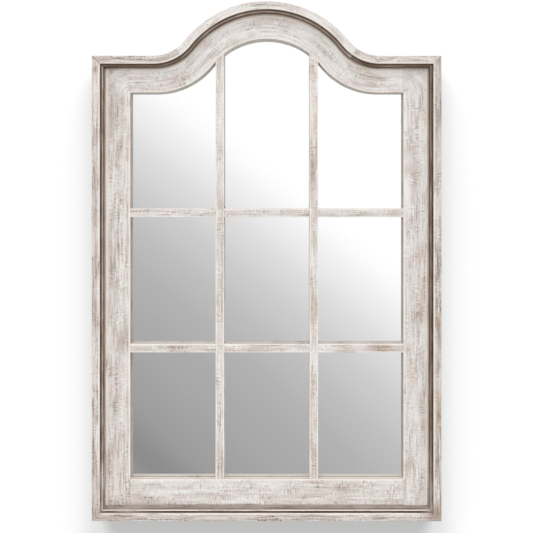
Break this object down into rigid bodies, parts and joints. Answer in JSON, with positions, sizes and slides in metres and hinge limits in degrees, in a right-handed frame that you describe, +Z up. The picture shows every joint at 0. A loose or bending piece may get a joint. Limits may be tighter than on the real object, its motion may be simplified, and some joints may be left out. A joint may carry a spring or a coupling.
{
  "type": "arched window mirror",
  "caption": "Wall mirror with an arched limed wood frame and a window grid of cross-halved bars in front of one silvered sheet, hung by two swinging rings.",
  "frame": {"origin": "on the wall plane, halfway between the two wall hooks that the hanger rings go over", "axes": "+Z up, +Y into the wall, so the front faces -Y; +X to the viewer's right"},
  "size_m": [0.8, 0.045, 1.19],
  "materials": {
    "limed_band": "limed grey-white wash, brushed and worn, matt",
    "limed_board": "limed grey-white wash, brushed and worn, matt",
    "limed_bar": "limed grey-white wash, matt",
    "silvered_glass": "polished silvered glass",
    "hardboard": "smooth brown hardboard, matt",
    "beech": "plain turned beech",
    "zinc": "bright zinc plate",
    "steel": "plain steel"
  },
  "bodies": {
    "frame": {"band_left": "limed_band", "band_right": "limed_band", "band_foot": "limed_band", "band_shoulder_left": "limed_band", "band_shoulder_right": "limed_band", "band_crown": "limed_band", "stile_left": "limed_board", "stile_right": "limed_board", "foot_rail": "limed_board", "shoulder_rail_left": "limed_board", "shoulder_rail_right": "limed_board", "crown_rail": "limed_board", "muntin_vertical_left": "limed_bar", "muntin_vertical_right": "limed_bar", "muntin_horizontal_upper": "limed_bar", "muntin_horizontal_lower": "limed_bar", "mirror_sheet": "silvered_glass", "backing_board": "hardboard", "dowel_foot_left_lower": "beech", "dowel_foot_left_upper": "beech", "dowel_shoulder_left_lower": "beech", "dowel_shoulder_left_upper": "beech", "dowel_crown_left_lower": "beech", "dowel_crown_left_upper": "beech", "dowel_foot_right_lower": "beech", "dowel_foot_right_upper": "beech", "dowel_shoulder_right_lower": "beech", "dowel_shoulder_right_upper": "beech", "dowel_crown_right_lower": "beech", "dowel_crown_right_upper": "beech", "backing_screw_01": "zinc", "backing_screw_02": "zinc", "backing_screw_03": "zinc", "backing_screw_04": "zinc", "backing_screw_05": "zinc", "backing_screw_06": "zinc", "backing_screw_07": "zinc", "backing_screw_08": "zinc", "backing_screw_09": "zinc", "backing_screw_10": "zinc", "backing_screw_11": "zinc", "hanger_screw_left_upper": "zinc", "hanger_screw_left_lower": "zinc", "hanger_screw_right_upper": "zinc", "hanger_screw_right_lower": "zinc", "hanger_strap_left": "zinc", "hanger_strap_right": "zinc", "band_pin_01": "steel", "band_pin_02": "steel", "band_pin_03": "steel", "band_pin_04": "steel", "band_pin_05": "steel", "band_pin_06": "steel", "band_pin_07": "steel", "band_pin_08": "steel", "band_pin_09": "steel", "band_pin_10": "steel"},
    "left_ring": {"hanger_ring_left": "zinc"},
    "right_ring": {"hanger_ring_right": "zinc"}
  },
  "joints": [
    {"name": "left_ring_swing", "type": "hinge", "parent": "frame", "child": "left_ring", "pos_m": [-0.358, -0.0058, -0.014], "axis": [1, 0, 0], "range_deg": [0, 180]},
    {"name": "right_ring_swing", "type": "hinge", "parent": "frame", "child": "right_ring", "pos_m": [0.358, -0.0058, -0.014], "axis": [1, 0, 0], "range_deg": [0, 180]}
  ]
}
